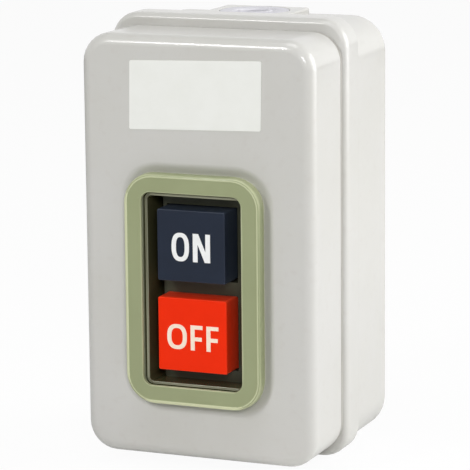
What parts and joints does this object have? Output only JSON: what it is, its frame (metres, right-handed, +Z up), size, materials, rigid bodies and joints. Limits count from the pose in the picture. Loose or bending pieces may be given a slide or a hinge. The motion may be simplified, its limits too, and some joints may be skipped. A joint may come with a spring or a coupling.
{
  "type": "pushbutton starter",
  "caption": "Wall-mounted motor starter: deep rounded case with a seal band, a framed well with square on and off push caps, and a sprung contact carrier with a latch lever.",
  "frame": {"origin": "centre of the back mounting face, midway between the two wall screw holes", "axes": "+X to the right seen from the front, +Y into the wall, +Z up; the buttons face -Y"},
  "size_m": [0.0858, 0.0755, 0.1512],
  "materials": {
    "case_paint": "smooth light grey paint",
    "seal": "dull grey",
    "label": "bare white film",
    "zinc_steel": "bright zinc plated",
    "bezel_plastic": "moulded, yellow green",
    "liner_plastic": "moulded, olive",
    "guide_plastic": "moulded, grey green",
    "on_plastic": "moulded, near black",
    "off_plastic": "moulded, signal red",
    "nylon": "natural",
    "spring_steel": "drawn wire",
    "phenolic": "brown moulding",
    "carrier_phenolic": "red-brown moulding",
    "contact_brass": "stamped strip with silver tips",
    "pin_steel": "ground",
    "earth_brass": "bright",
    "pale_rubber": "dull, pale grey"
  },
  "bodies": {
    "case": {"front_cover": "case_paint", "rear_case": "case_paint", "case_gasket": "seal", "label_plate": "label", "cover_hook": "zinc_steel", "cover_latch": "zinc_steel", "cover_screw": "zinc_steel", "bezel": "bezel_plastic", "well_liner": "liner_plastic", "bezel_retainer": "zinc_steel", "bezel_screws": "zinc_steel", "guide_housing": "guide_plastic", "housing_screws": "zinc_steel", "on_spring": "spring_steel", "off_spring": "spring_steel", "switch_base": "phenolic", "base_screws": "zinc_steel", "line_contact_1": "contact_brass", "line_contact_2": "contact_brass", "line_contact_3": "contact_brass", "load_contact_1": "contact_brass", "load_contact_2": "contact_brass", "load_contact_3": "contact_brass", "terminal_screws": "zinc_steel", "terminal_clamps": "zinc_steel", "guide_pins": "pin_steel", "carrier_springs": "spring_steel", "latch_pin": "pin_steel", "latch_spring": "spring_steel", "earth_screw": "earth_brass", "earth_clamp": "earth_brass", "grommet_top": "pale_rubber", "grommet_bottom": "pale_rubber"},
    "on_cap": {"on_button": "on_plastic", "on_plunger": "nylon"},
    "off_cap": {"off_button": "off_plastic", "off_plunger": "nylon"},
    "carrier": {"contact_carrier": "carrier_phenolic", "contact_bridge_1": "contact_brass", "contact_bridge_2": "contact_brass", "contact_bridge_3": "contact_brass", "contact_spring_1": "spring_steel", "contact_spring_2": "spring_steel", "contact_spring_3": "spring_steel"},
    "latch": {"latch_lever": "pin_steel"}
  },
  "joints": [
    {"name": "on_press", "type": "slide", "parent": "case", "child": "on_cap", "axis": [0, 1, 0], "range_m": [0, 0.005], "stiffness_N_per_m": 700, "springref_m": -0.003, "deforming": ["on_spring"]},
    {"name": "carrier_slide", "type": "slide", "parent": "case", "child": "carrier", "axis": [0, 1, 0], "range_m": [0, 0.005], "stiffness_N_per_m": 500, "springref_m": -0.003, "deforming": ["carrier_springs"]},
    {"name": "off_press", "type": "slide", "parent": "case", "child": "off_cap", "axis": [0, 1, 0], "range_m": [0, 0.005], "stiffness_N_per_m": 700, "springref_m": -0.003, "deforming": ["off_spring"]},
    {"name": "latch_tip", "type": "hinge", "parent": "case", "child": "latch", "pos_m": [0, -0.034, -0.01795], "axis": [1, 0, 0], "range_deg": [0, 34], "stiffness_Nm_per_rad": 0.01, "springref_deg": -17.19, "deforming": ["latch_spring"]}
  ],
  "couplings": [
    {"joint": "carrier_slide", "follows": "on_press", "ratio": 1},
    {"joint": "latch_tip", "follows": "off_press", "rad_per_m": 118.68}
  ]
}
